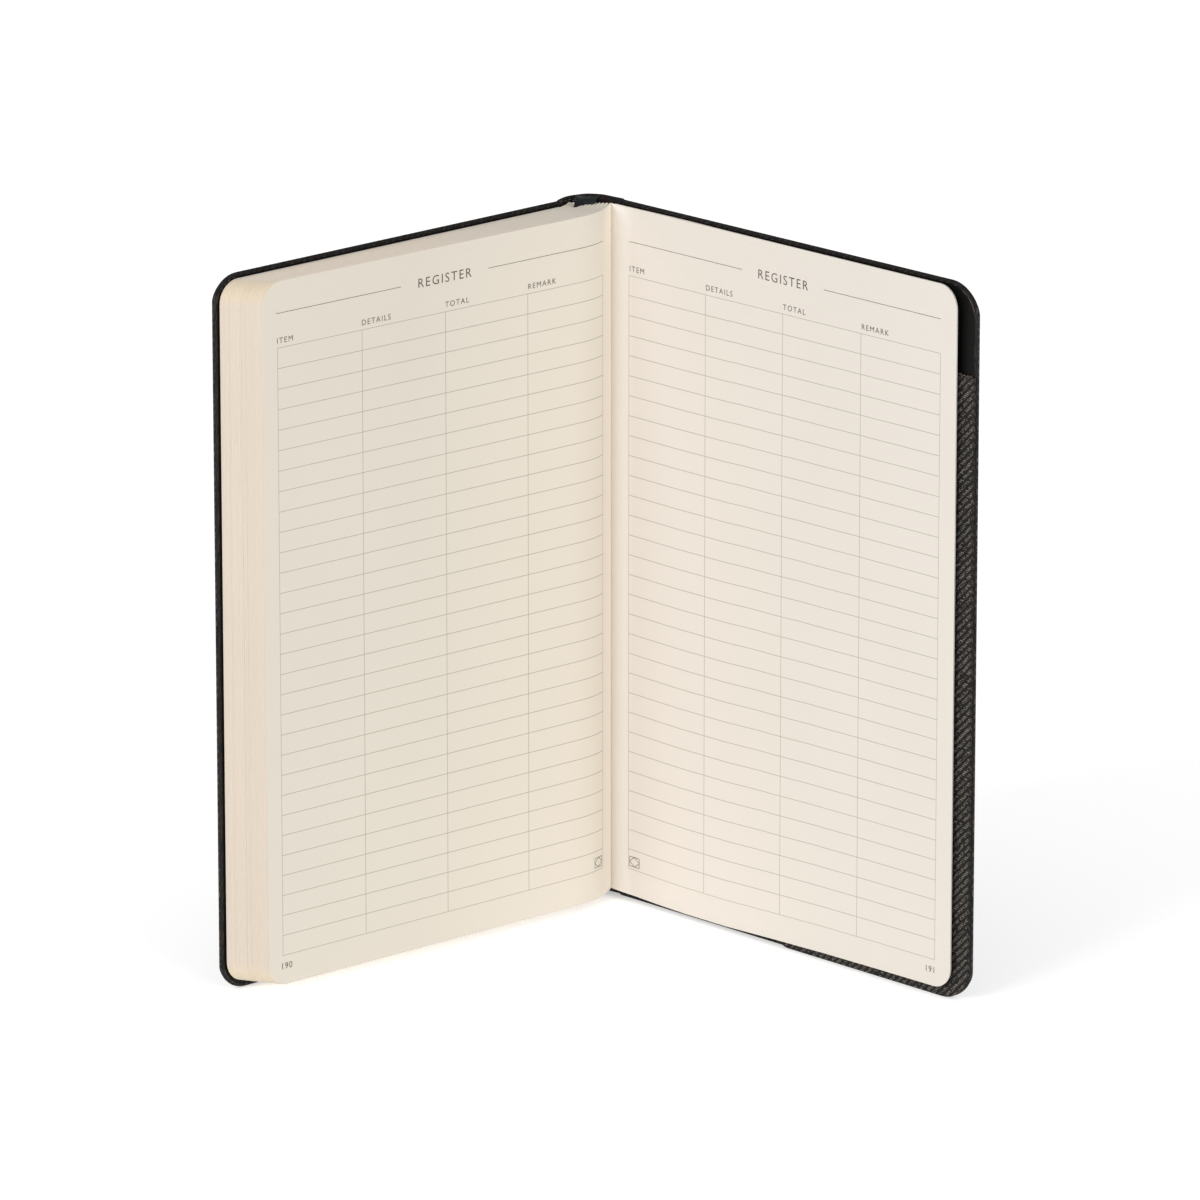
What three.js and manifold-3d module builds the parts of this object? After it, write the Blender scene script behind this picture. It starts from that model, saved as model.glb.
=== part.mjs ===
// Softcover notebook, standing open on its foot at the last spread.
// Millimetres, +Z up. The origin is at the foot of the spine, in the middle of its wall.
// The book is laid out closed, with its spine along X and its leaves towards -Y.
// Groups then turn the covers and signatures about their own hinge lines to the open pose.
import * as THREE from "three";
import { mergeVertices } from "three/addons/utils/BufferGeometryUtils.js";
import Module from "manifold-3d";

const wasm = await Module();
wasm.setup();

// Heights
const COVER_HEIGHT = 180;
const PAGE_HEIGHT = 177;
const FOOT_SQUARE = 2.2;

// Widths, away from the spine
const PAGE_WIDTH = 117;
const FRONT_FORE_SQUARE = 0.3;
const BACK_FORE_SQUARE = 1.0;
const COVER_CORNER_RADIUS = 10;
const PAGE_CORNER_RADIUS = 7;

// Block
const SIGNATURE_COUNT = 12;
const LEAVES_PER_SIGNATURE = 8;
const LEAF_THICKNESS = 0.075;
const FLYLEAF_THICKNESS = 0.12;
const FOLD_PITCH = 0.95;
const FIRST_BEND_DEPTH = 5.0;
const LAST_BEND_DEPTH = 10.0;
const GLUE_THICKNESS = 0.6;
const GLUE_VALLEY = 0.2;
const MULL_THICKNESS = 0.25;
const MULL_SHORT = 10;

// Cover, from the cloth inwards
const CLOTH_THICKNESS = 0.4;
const CORE_THICKNESS = 0.7;
const LINING_THICKNESS = 0.2;
const TURN_IN_RIM = 1.5;

// Pocket inside the back cover
const POCKET_WIDTH = 62;
const POCKET_HEIGHT = 157;
const POCKET_THICKNESS = 0.5;
const POCKET_CORNER_RADIUS = 3;

// Spine
const SPINE_WALL = 1.2;
const SPINE_CROWN = 5.6;
const LINER_THICKNESS = 0.35;

// Middle of the spine wall on the plan, from the back joint over the crown to the front side:
// how far across, as a part of the half width, and how far out, as a part of the rise
const CROWN_LINE = [
  [0.904, 0.46],
  [0.582, 0.68],
  [0.25, 0.93],
  [0, 1],
  [-0.35, 0.92],
  [-0.626, 0.6],
  [-0.876, 0.12],
];

// Where the liner starts and ends along that line, as parts of its length
const LINER_START = 0.08;
const LINER_END = 0.66;

// Ribbon marker
const RIBBON_WIDTH = 5;
const RIBBON_THICKNESS = 0.2;
const RIBBON_GLUED = 24;
const RIBBON_TAIL = 146;
const RIBBON_SLOT = 3;
const RIBBON_RISE = 1.2;

// Clearances
const GLUE_GAP = 0.1;
const SLIP_GAP = 0.3;
const FOLD_GAP = 0.3;
const KNUCKLE_GAP = 2.0;

// Hinges
const BACK_HINGE_DEPTH = 1.2;
const LEAF_HINGE_DEPTH = -0.3;

// Open pose, in degrees
const SPINE_TURN = -14.8;
const FIRST_LEAN = 32.6;
const LAST_LEAN = 34.0;
const BACK_COVER_SWING = 60;
const BACK_FLYLEAF_SWING = 59.9;
const LAST_LEAF_SWING = 59.8;

// Curve steps
const CORNER_STEPS = 8;
const CROWN_STEPS = 24;

// Places across the closed book
const coverThickness = CLOTH_THICKNESS + CORE_THICKNESS + LINING_THICKNESS + 2 * GLUE_GAP;
const signatureThickness = LEAVES_PER_SIGNATURE * LEAF_THICKNESS;
const lastSignatureThickness = (LEAVES_PER_SIGNATURE - 1) * LEAF_THICKNESS;
const firstFoldX = -FOLD_PITCH * (SIGNATURE_COUNT - 1) / 2;
const lastFoldX = -firstFoldX;
const frontFlyleafX = firstFoldX - signatureThickness / 2 - SLIP_GAP - FLYLEAF_THICKNESS / 2;
const frontInnerX = frontFlyleafX - FLYLEAF_THICKNESS / 2 - SLIP_GAP;
const frontOuterX = frontInnerX - coverThickness;
const lastLeafX = lastFoldX + lastSignatureThickness / 2 + SLIP_GAP + LEAF_THICKNESS / 2;
const backFlyleafX = lastLeafX + LEAF_THICKNESS / 2 + SLIP_GAP + FLYLEAF_THICKNESS / 2;
const pocketInnerX = backFlyleafX + FLYLEAF_THICKNESS / 2 + SLIP_GAP;
const backInnerX = pocketInnerX + POCKET_THICKNESS + GLUE_GAP;
const backOuterX = backInnerX + coverThickness;

// Places up and out
const pageFoot = FOOT_SQUARE;
const pageHead = FOOT_SQUARE + PAGE_HEIGHT;
const frontForeY = -PAGE_WIDTH - FRONT_FORE_SQUARE;
const backForeY = -PAGE_WIDTH - BACK_FORE_SQUARE;
const spineMidX = (frontOuterX + backOuterX) / 2;
const crownMid = SPINE_CROWN - SPINE_WALL / 2;

// Bend line and lean of each signature: even steps from the first to the last
const stepTo = (index, first, last) => first + (last - first) * (index / (SIGNATURE_COUNT - 1));
const bendDepth = (index) => stepTo(index, FIRST_BEND_DEPTH, LAST_BEND_DEPTH);
const lean = (index) => stepTo(index, FIRST_LEAN, LAST_LEAN);

const radians = (degrees) => THREE.MathUtils.degToRad(degrees);

// Materials
function finish(color, roughness) {
  return new THREE.MeshStandardMaterial({ color, roughness, metalness: 0 });
}
const twill = finish(0x2b2a29, 0.85);
const blackLining = finish(0x141414, 0.55);
const card = finish(0x5b5650, 0.9);
const paper = finish(0xeee4d4, 0.9);
const endpaper = finish(0xf1e9db, 0.9);
const glue = finish(0xe6dcc6, 0.7);
const gauze = finish(0xd9d2c0, 0.95);
const ribbonSatin = finish(0x232a2a, 0.5);

// A closed skin over a row of four-cornered rings
function loft(rings) {
  const points = rings.flat();
  const size = rings[0].length;
  const faces = [];
  const quad = (a, b, c, d) => faces.push(a, b, c, a, c, d);
  for (let i = 0; i < rings.length - 1; i += 1) {
    for (let j = 0; j < size; j += 1) {
      const next = (j + 1) % size;
      const row = size * i;
      quad(row + j, row + next, row + size + next, row + size + j);
    }
  }
  const last = size * (rings.length - 1);
  quad(3, 2, 1, 0);
  quad(last, last + 1, last + 2, last + 3);
  const geometry = new THREE.BufferGeometry();
  const values = points.flatMap((p) => [p.x, p.y, p.z]);
  geometry.setAttribute("position", new THREE.Float32BufferAttribute(values, 3));
  geometry.setIndex(faces);
  return geometry;
}

// How far a rounded corner draws in the edge, at a distance from the fore edge
function drawIn(fromEdge, radius) {
  if (fromEdge >= radius) {
    return 0;
  }
  return radius - Math.sqrt(Math.max(0, radius * radius - (radius - fromEdge) ** 2));
}

// Stations along a sheet: even angles round its corners, then straight to the root
function stations(root, fore, radius) {
  const list = [root];
  const length = root - fore;
  for (let i = CORNER_STEPS; i >= 0; i -= 1) {
    const angle = (Math.PI / 2) * (i / CORNER_STEPS);
    const fromEdge = radius * (1 - Math.cos(angle));
    if (fromEdge < length) {
      list.push(fore + fromEdge);
    }
  }
  return list;
}

// A flat sheet or board standing in the YZ plane, with its two fore-edge corners rounded
function sheet({ left, right, root, fore, low, high, lowRadius, highRadius }) {
  const radius = Math.max(lowRadius, highRadius);
  const rows = radius > 0 ? stations(root, fore, radius) : [root, fore];
  const rings = rows.map((y) => {
    const fromEdge = y - fore;
    const z0 = low + drawIn(fromEdge, lowRadius);
    const z1 = high - drawIn(fromEdge, highRadius);
    return [
      new THREE.Vector3(left, y, z0),
      new THREE.Vector3(right, y, z0),
      new THREE.Vector3(right, y, z1),
      new THREE.Vector3(left, y, z1),
    ];
  });
  return loft(rings);
}

// Boolean cut
function solid(geometry) {
  const bare = geometry.clone();
  bare.deleteAttribute("normal");
  bare.deleteAttribute("uv");
  const merged = mergeVertices(bare, 1e-5);
  return new wasm.Manifold(new wasm.Mesh({
    numProp: 3,
    vertProperties: new Float32Array(merged.attributes.position.array),
    triVerts: new Uint32Array(merged.index.array),
  }));
}
function fromSolid(body) {
  const mesh = body.getMesh();
  const geometry = new THREE.BufferGeometry();
  geometry.setAttribute("position", new THREE.BufferAttribute(mesh.vertProperties, 3));
  geometry.setIndex(new THREE.BufferAttribute(mesh.triVerts, 1));
  return geometry;
}
function cut(geometry, tools) {
  let body = solid(geometry);
  for (const tool of tools) {
    body = body.subtract(solid(tool));
  }
  return fromSolid(body);
}

function join(parts) {
  let body = solid(parts[0]);
  for (const part of parts.slice(1)) {
    body = body.add(solid(part));
  }
  return fromSolid(body);
}

function box(width, depth, height) {
  return new THREE.BoxGeometry(width, depth, height);
}

function piece(name, geometry, material) {
  const mesh = new THREE.Mesh(geometry, material);
  mesh.name = name;
  return mesh;
}

// Signatures: the leaves beyond the bend line
function signature(index) {
  const isLast = index === SIGNATURE_COUNT - 1;
  const half = (isLast ? lastSignatureThickness : signatureThickness) / 2;
  const x = firstFoldX + index * FOLD_PITCH;
  const shape = sheet({
    left: x - half,
    right: x + half,
    root: -bendDepth(index),
    fore: -PAGE_WIDTH,
    low: pageFoot,
    high: pageHead,
    lowRadius: PAGE_CORNER_RADIUS,
    highRadius: PAGE_CORNER_RADIUS,
  });
  return piece(`signature_${String(index + 1).padStart(2, "0")}`, shape, paper);
}

// A single leaf of an endpaper, or the last leaf of the block
function leaf(name, x, thickness, root, material) {
  const shape = sheet({
    left: x - thickness / 2,
    right: x + thickness / 2,
    root,
    fore: -PAGE_WIDTH,
    low: pageFoot,
    high: pageHead,
    lowRadius: PAGE_CORNER_RADIUS,
    highRadius: PAGE_CORNER_RADIUS,
  });
  return piece(name, shape, material);
}

// The folds as sewn: a glued back, grooved between the folds, with one fin for each signature
function sewnFolds() {
  const profile = new THREE.Shape();
  const half = signatureThickness / 2;
  profile.moveTo(firstFoldX - half, 0);
  for (let i = 0; i < SIGNATURE_COUNT; i += 1) {
    const x = firstFoldX + i * FOLD_PITCH;
    const finEnd = -bendDepth(i) + FOLD_GAP;
    if (i > 0) {
      profile.lineTo(x - half, -GLUE_THICKNESS);
    }
    profile.lineTo(x - half, finEnd);
    profile.lineTo(x + half, finEnd);
    if (i < SIGNATURE_COUNT - 1) {
      profile.lineTo(x + half, -GLUE_THICKNESS);
    }
  }
  profile.lineTo(lastFoldX + half, 0);
  for (let i = SIGNATURE_COUNT - 1; i > 0; i -= 1) {
    const valley = firstFoldX + (i - 0.5) * FOLD_PITCH;
    profile.lineTo(valley + half, 0);
    profile.lineTo(valley, -GLUE_VALLEY);
    profile.lineTo(valley - half, 0);
  }
  profile.closePath();
  const shape = new THREE.ExtrudeGeometry(profile, { depth: PAGE_HEIGHT, bevelEnabled: false });
  shape.translate(0, 0, pageFoot);
  return piece("sewn_folds", shape, glue);
}

// Gauze over the folds, short of both ends of the block
function spineMull() {
  const shape = sheet({
    left: firstFoldX,
    right: lastFoldX,
    root: GLUE_GAP + MULL_THICKNESS,
    fore: GLUE_GAP,
    low: pageFoot + MULL_SHORT,
    high: pageHead - MULL_SHORT,
    lowRadius: 0,
    highRadius: 0,
  });
  return piece("spine_mull", shape, gauze);
}

// Middle line of the spine wall, down to the front bend line
function crownCurve() {
  const halfWidth = (backOuterX - frontOuterX) / 2 - SPINE_WALL / 2;
  const at = ([across, out]) => {
    return new THREE.Vector2(spineMidX + across * halfWidth, out * crownMid);
  };
  const end = new THREE.Vector2(spineMidX - halfWidth, -FIRST_BEND_DEPTH + KNUCKLE_GAP);
  return new THREE.SplineCurve([...CROWN_LINE.map(at), end]);
}

// A wall that follows the rounded spine, between two parts of its length
function crownWall(from, to, inner, outer, low, high) {
  const curve = crownCurve();
  const rings = [];
  for (let i = CROWN_STEPS; i >= 0; i -= 1) {
    const part = from + (to - from) * (i / CROWN_STEPS);
    const middle = curve.getPointAt(part);
    const tangent = curve.getTangentAt(part);
    const outwards = new THREE.Vector2(tangent.y, -tangent.x);
    const a = middle.clone().addScaledVector(outwards, outer);
    const b = middle.clone().addScaledVector(outwards, inner);
    rings.push([
      new THREE.Vector3(a.x, a.y, low),
      new THREE.Vector3(a.x, a.y, high),
      new THREE.Vector3(b.x, b.y, high),
      new THREE.Vector3(b.x, b.y, low),
    ]);
  }
  return loft(rings);
}

// Cloth round the spine: from beside the back hinge, over the crown, to the front bend line
function spineSkin() {
  const half = SPINE_WALL / 2;
  return piece("spine_skin", crownWall(0, 1, -half, half, 0, COVER_HEIGHT), twill);
}

// Stiff paper strip inside the crown
function spineLiner() {
  const outer = -SPINE_WALL / 2 - GLUE_GAP;
  const inner = outer - LINER_THICKNESS;
  const shape = crownWall(LINER_START, LINER_END, inner, outer, pageFoot, pageHead);
  return piece("spine_liner", shape, blackLining);
}

// Cover: a cloth tray that wraps the card and the lining on three sides
function coverSkin(name, innerX, side, root, fore) {
  const outerX = innerX + side * coverThickness;
  const floorX = outerX - side * CLOTH_THICKNESS;
  const beyond = innerX - side;
  const tray = sheet({
    left: Math.min(innerX, outerX),
    right: Math.max(innerX, outerX),
    root,
    fore,
    low: 0,
    high: COVER_HEIGHT,
    lowRadius: COVER_CORNER_RADIUS,
    highRadius: COVER_CORNER_RADIUS,
  });
  const recess = sheet({
    left: Math.min(floorX, beyond),
    right: Math.max(floorX, beyond),
    root: root + TURN_IN_RIM,
    fore: fore + TURN_IN_RIM,
    low: TURN_IN_RIM,
    high: COVER_HEIGHT - TURN_IN_RIM,
    lowRadius: COVER_CORNER_RADIUS - TURN_IN_RIM,
    highRadius: COVER_CORNER_RADIUS - TURN_IN_RIM,
  });
  return piece(name, cut(tray, [recess]), twill);
}

// A layer inside the cover's cloth tray
function coverLayer(name, from, to, root, fore, material) {
  const inset = TURN_IN_RIM + GLUE_GAP;
  const shape = sheet({
    left: Math.min(from, to),
    right: Math.max(from, to),
    root: root - GLUE_GAP,
    fore: fore + inset,
    low: inset,
    high: COVER_HEIGHT - inset,
    lowRadius: COVER_CORNER_RADIUS - inset,
    highRadius: COVER_CORNER_RADIUS - inset,
  });
  return piece(name, shape, material);
}

function cover(name, innerX, side, root, fore) {
  const liningX = innerX + side * LINING_THICKNESS;
  const coreX = liningX + side * GLUE_GAP;
  const clothX = coreX + side * CORE_THICKNESS;
  return [
    coverSkin(`${name}_skin`, innerX, side, root, fore),
    coverLayer(`${name}_core`, coreX, clothX, root, fore, card),
    coverLayer(`${name}_lining`, innerX, liningX, root, fore, blackLining),
  ];
}

// Pocket panel: cloth-covered card over the outer half of the back cover
function pocketPanel() {
  const innerEdge = backForeY + POCKET_WIDTH;
  const panel = sheet({
    left: pocketInnerX,
    right: pocketInnerX + POCKET_THICKNESS,
    root: innerEdge,
    fore: backForeY,
    low: 0,
    high: POCKET_HEIGHT,
    lowRadius: COVER_CORNER_RADIUS,
    highRadius: 0,
  });
  const radius = POCKET_CORNER_RADIUS;
  const beyond = 1;
  const outline = new THREE.Shape();
  outline.moveTo(innerEdge + beyond, -beyond);
  outline.lineTo(innerEdge + beyond, radius);
  outline.lineTo(innerEdge, radius);
  outline.absarc(innerEdge - radius, radius, radius, 0, -Math.PI / 2, true);
  outline.lineTo(innerEdge - radius, -beyond);
  outline.closePath();
  const corner = new THREE.ExtrudeGeometry(outline, {
    depth: POCKET_THICKNESS + 2 * beyond,
    bevelEnabled: false,
    curveSegments: CORNER_STEPS,
  });
  const turn = new THREE.Matrix4().makeBasis(
    new THREE.Vector3(0, 1, 0),
    new THREE.Vector3(0, 0, 1),
    new THREE.Vector3(1, 0, 0),
  );
  corner.applyMatrix4(turn);
  corner.translate(pocketInnerX - beyond, 0, 0);
  return piece("pocket_panel", cut(panel, [corner]), twill);
}

// Ribbon: glued behind the folds, over the head of the block, down between two signatures
function ribbonMarker() {
  const halfWidth = RIBBON_WIDTH / 2;
  const halfThick = RIBBON_THICKNESS / 2;
  const slotX = firstFoldX + (RIBBON_SLOT - 0.5) * FOLD_PITCH;
  const slotY = -GLUE_THICKNESS - SLIP_GAP - halfWidth;
  const backX = slotX + RIBBON_WIDTH;
  const backY = GLUE_GAP + MULL_THICKNESS + SLIP_GAP + halfThick;
  const top = pageHead + RIBBON_RISE;
  const under = top - RIBBON_THICKNESS;
  const behind = box(RIBBON_WIDTH, RIBBON_THICKNESS, RIBBON_GLUED);
  behind.translate(backX, backY, top - RIBBON_GLUED / 2);
  const tail = box(RIBBON_THICKNESS, RIBBON_WIDTH, RIBBON_TAIL);
  tail.translate(slotX, slotY, top - RIBBON_TAIL / 2);
  const crossing = new THREE.Shape([
    new THREE.Vector2(backX + halfWidth, backY + halfThick),
    new THREE.Vector2(backX - halfWidth, backY + halfThick),
    new THREE.Vector2(slotX - halfThick, slotY + halfWidth),
    new THREE.Vector2(slotX - halfThick, slotY - halfWidth),
    new THREE.Vector2(slotX + halfThick, slotY - halfWidth),
    new THREE.Vector2(backX + halfWidth, backY - halfThick),
  ]);
  const over = new THREE.ExtrudeGeometry(crossing, { depth: RIBBON_THICKNESS, bevelEnabled: false });
  over.translate(0, 0, under);
  return piece("ribbon_marker", join([behind, over, tail]), ribbonSatin);
}

// A group that turns what it holds about an upright line
function turned(x, y, degrees, children) {
  const shift = new THREE.Group();
  shift.position.set(-x, -y, 0);
  shift.add(...children);
  const turn = new THREE.Group();
  turn.position.set(x, y, 0);
  turn.rotation.z = radians(degrees);
  turn.add(shift);
  return turn;
}

// The book, opened
const book = new THREE.Group();
const spine = new THREE.Group();
spine.position.set(-spineMidX, -crownMid, 0);
const spineFrame = new THREE.Group();
spineFrame.rotation.z = radians(SPINE_TURN);
spineFrame.add(spine);
book.add(spineFrame);
spine.add(spineSkin(), spineLiner(), spineMull(), sewnFolds(), ribbonMarker());

for (let i = 0; i < SIGNATURE_COUNT; i += 1) {
  const bend = -bendDepth(i);
  const held = [signature(i)];
  if (i === 0) {
    held.push(leaf("front_flyleaf", frontFlyleafX, FLYLEAF_THICKNESS, bend, endpaper));
    held.push(...cover("front_cover", frontInnerX, -1, bend - FOLD_GAP, frontForeY));
  }
  spine.add(turned(firstFoldX + i * FOLD_PITCH, bend, -lean(i), held));
}

const leafRoot = LEAF_HINGE_DEPTH - SLIP_GAP;
const lastLeaf = leaf("last_leaf", lastLeafX, LEAF_THICKNESS, leafRoot, paper);
spine.add(turned(lastLeafX, LEAF_HINGE_DEPTH, LAST_LEAF_SWING, [lastLeaf]));
const backFlyleaf = leaf("back_flyleaf", backFlyleafX, FLYLEAF_THICKNESS, leafRoot, endpaper);
spine.add(turned(backFlyleafX, LEAF_HINGE_DEPTH, BACK_FLYLEAF_SWING, [backFlyleaf]));

const backHingeX = (backInnerX + backOuterX) / 2;
const backPieces = cover("back_cover", backInnerX, 1, BACK_HINGE_DEPTH, backForeY);
backPieces.push(pocketPanel());
spine.add(turned(backHingeX, BACK_HINGE_DEPTH, BACK_COVER_SWING, backPieces));

export default book;
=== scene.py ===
# Looks of a softcover notebook that stands open on its foot at the last spread.
# Plans are drawn on the closed book, in millimetres, and then carried to the frame.
import math
from functools import partial

import bmesh
import bpy
import numpy as np
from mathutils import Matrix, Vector


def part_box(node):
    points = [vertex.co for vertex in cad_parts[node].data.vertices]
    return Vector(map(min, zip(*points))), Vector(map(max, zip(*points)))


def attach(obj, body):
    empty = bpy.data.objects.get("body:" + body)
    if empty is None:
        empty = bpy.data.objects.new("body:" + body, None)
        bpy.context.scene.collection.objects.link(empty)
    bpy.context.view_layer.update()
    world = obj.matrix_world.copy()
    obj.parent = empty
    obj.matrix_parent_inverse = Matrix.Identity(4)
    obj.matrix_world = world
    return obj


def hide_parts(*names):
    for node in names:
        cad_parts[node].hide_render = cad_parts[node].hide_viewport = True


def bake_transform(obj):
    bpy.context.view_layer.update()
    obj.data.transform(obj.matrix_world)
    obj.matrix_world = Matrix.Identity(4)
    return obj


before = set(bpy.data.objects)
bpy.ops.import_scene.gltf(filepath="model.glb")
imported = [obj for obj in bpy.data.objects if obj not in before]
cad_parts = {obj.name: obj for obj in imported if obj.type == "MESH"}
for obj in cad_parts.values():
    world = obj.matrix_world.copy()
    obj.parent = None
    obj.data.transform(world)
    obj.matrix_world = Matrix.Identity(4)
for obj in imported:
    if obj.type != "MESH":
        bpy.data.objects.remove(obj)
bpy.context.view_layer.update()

MM = 0.001

# Heights, read from the frame
COVER_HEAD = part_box("spine_skin")[1].z / MM
PAGE_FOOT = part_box("signature_01")[0].z / MM
PAGE_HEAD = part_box("signature_01")[1].z / MM

# Plan of the closed book: its spine lies along X and its leaves run towards -Y
SIGNATURES = 12
LEAVES = 8
FOLD_PITCH = 0.95
FIRST_FOLD_X = -FOLD_PITCH * (SIGNATURES - 1) / 2
FIRST_BEND, LAST_BEND = 5.0, 10.0
PAGE_WIDTH = 117.0
PAGE_CORNER = 5.6
LEAF_THICK = 0.07
LEAF_PITCH = 0.075
FLYLEAF_THICK = 0.12
SPINE_CENTRE = np.array([0.46875, 5.0])
SPINE_TURN = -14.8
FIRST_LEAN, LAST_LEAN = -32.6, -34.0

# Covers
FRONT_CORNER = 7.6
BACK_CORNER = 9.0
COVER_THICK = 1.5
HALF = COVER_THICK / 2
CLOTH_THICK = 0.4
RIM = 0.8
FRONT_MID_X = -6.995
BACK_MID_X = 7.9325
FRONT_ROOT = -FIRST_BEND - 0.3
BACK_ROOT = 1.2
FRONT_FORE = -116.9
BACK_FORE = -118.8
BACK_SWING = 60.0
CROWN_WALL = 1.2
CROWN_HALF = 7.61375
CROWN_RISE = 5.0
# The rounded spine wall's middle, as shares of its half width and of its rise
CROWN_LINE = (
    (0.904, 0.46), (0.582, 0.68), (0.25, 0.93), (0, 1),
    (-0.35, 0.92), (-0.626, 0.6), (-0.876, 0.12),
)
CROWN_FRONT = -FIRST_BEND + 2.0

# Leaves that turn on the back cover's side
FRONT_FLYLEAF_X = -6.11
LAST_LEAF_X = 5.825
BACK_FLYLEAF_X = 6.2225
LEAF_HINGE_Y = -0.3
LAST_LEAF_SWING = 59.8
BACK_FLYLEAF_SWING = 59.9

# Pocket
POCKET_X = 6.8325
POCKET_THICK = 0.5
POCKET_WIDTH = 64.2
POCKET_HEIGHT = 157.5
POCKET_CORNER = 3.0
SQUARE_CORNER = 0.3


# Places

def rotated(points, degrees):
    """Plan points (n, 2) turned about the origin."""
    angle = math.radians(degrees)
    cos, sin = math.cos(angle), math.sin(angle)
    return np.asarray(points, float) @ np.array([[cos, sin], [-sin, cos]])


def about(point, pivot, degrees):
    """One plan point turned about a pivot."""
    pivot = np.asarray(pivot, float)
    return rotated([np.asarray(point, float) - pivot], degrees)[0] + pivot


def to_frame(plan, heights):
    """Plan points (n, 2) and heights (n) as points of the frame, in metres."""
    turned = rotated(np.asarray(plan) - SPINE_CENTRE, SPINE_TURN)
    return np.column_stack([turned, heights]) * MM


def smooth(value):
    """A soft step from 0 to 1."""
    t = np.clip(value, 0, 1)
    return t * t * (3 - 2 * t)


def ray(start, heading, length):
    """The far end of a straight run."""
    angle = math.radians(heading)
    return np.asarray(start) + length * np.array([math.sin(angle), -math.cos(angle)])


def cubic(t, a, leave_a, b, leave_b):
    """A curve from a to b with these tangents, for t from 0 to 1."""
    return (
        (2 * t**3 - 3 * t**2 + 1) * a
        + (t**3 - 2 * t**2 + t) * leave_a
        + (3 * t**2 - 2 * t**3) * b
        + (t**3 - t**2) * leave_b
    )


def soft_curve(a, heading_a, b, heading_b, pull, count=60):
    """Plan points on a curve between two places with these headings in degrees."""
    t = np.linspace(0, 1, count)[:, None]
    origin = (0.0, 0.0)
    leave_a, leave_b = ray(origin, heading_a, pull), ray(origin, heading_b, pull)
    return cubic(t, np.asarray(a, float), leave_a, np.asarray(b, float), leave_b)


def quarter(radius, angles):
    """How far in from the tangent point angles in degrees lie on an arc of this radius."""
    return [radius * (1 - math.cos(math.radians(a))) for a in angles]


def draw_in(from_edge, radius):
    """How far a rounded corner draws in the edge, at a distance from the fore edge."""
    inside = np.clip(radius - np.asarray(from_edge, float), 0, radius)
    return radius - np.sqrt(radius**2 - inside**2)


class Path:
    """A line on the plan, with the distance and the heading along it.
    Heading 0 runs straight out from the spine, and its normal points to +X."""

    def __init__(self, points):
        self.points = np.asarray(points, float)
        steps = np.diff(self.points, axis=0)
        lengths = np.hypot(steps[:, 0], steps[:, 1])
        self.distance = np.concatenate([[0], np.cumsum(lengths)])
        tangent = np.gradient(self.points, self.distance, axis=0)
        self.heading = np.unwrap(np.arctan2(tangent[:, 0], -tangent[:, 1]))
        self.length = self.distance[-1]

    def place(self, distance, out=0.0):
        """Plan points at these distances, moved sideways by out."""
        distance = np.asarray(distance, float)
        x = np.interp(distance, self.distance, self.points[:, 0])
        y = np.interp(distance, self.distance, self.points[:, 1])
        heading = np.interp(distance, self.distance, self.heading)
        return np.column_stack([x + out * np.cos(heading), y + out * np.sin(heading)])


def straight(start, heading, length, count):
    """A straight path."""
    return Path(np.linspace(start, ray(start, heading, length), count))


def swept(start, length, heading, count=1500):
    """A path from start whose heading in degrees is a function of the distance."""
    distance = np.linspace(0, length, count)
    angle = np.radians(heading((distance[1:] + distance[:-1]) / 2))
    step = distance[1]
    x = start[0] + np.concatenate([[0], np.cumsum(np.sin(angle) * step)])
    y = start[1] - np.concatenate([[0], np.cumsum(np.cos(angle) * step)])
    return Path(np.column_stack([x, y]))


BLEND_HEIGHT = 90.0


def blend_ends(path, start, end):
    """Two distances along a path as points of the frame, half way up the book."""
    return [tuple(p) for p in to_frame(path.place([start, end]), [BLEND_HEIGHT] * 2)]


# Meshes

def mesh_of(bm, name):
    """The mesh of a finished bmesh."""
    mesh = bpy.data.meshes.new(name)
    bm.to_mesh(mesh)
    bm.free()
    return mesh


def in_scene(name, data):
    made = bpy.data.objects.new(name, data)
    bpy.context.scene.collection.objects.link(made)
    return made


def skin(name, rings, uvs):
    """A closed mesh over rings (n, m, 3), with uvs (n, m + 1, 2) round each of them."""
    count, around, _ = rings.shape
    bm = bmesh.new()
    layer = bm.loops.layers.uv.new("cloth")
    verts = [bm.verts.new(p) for p in rings.reshape(-1, 3)]
    for i in range(count - 1):
        for j in range(around):
            k = (j + 1) % around
            at = ((i, j, j), (i, k, j + 1), (i + 1, k, j + 1), (i + 1, j, j))
            face = bm.faces.new([verts[row * around + column] for row, column, _ in at])
            for loop, (row, _, uv) in zip(face.loops, at):
                loop[layer].uv = uvs[row, uv]
    for row in (0, count - 1):
        face = bm.faces.new([verts[row * around + j] for j in range(around)])
        for j, loop in enumerate(face.loops):
            loop[layer].uv = uvs[row, j]
    bmesh.ops.recalc_face_normals(bm, faces=bm.faces)
    return mesh_of(bm, name)


def as_object(name, mesh, material, sharp=40):
    """An object for a finished mesh, shaded smooth except at its sharp edges."""
    mesh.name = name
    mesh.materials.clear()
    mesh.materials.append(material)
    mesh.shade_smooth()
    mesh.set_sharp_from_angle(angle=math.radians(sharp))
    return in_scene(name, mesh)


def plain_mesh(source):
    """The mesh that an object's curve or modifiers make; the object is removed."""
    bpy.context.view_layer.update()
    graph = bpy.context.evaluated_depsgraph_get()
    mesh = bpy.data.meshes.new_from_object(source.evaluated_get(graph))
    bpy.data.objects.remove(source)
    return mesh


def joined(name, meshes):
    """Several meshes as one."""
    bm = bmesh.new()
    for mesh in meshes:
        bm.from_mesh(mesh)
        bpy.data.meshes.remove(mesh)
    return mesh_of(bm, name)


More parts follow.
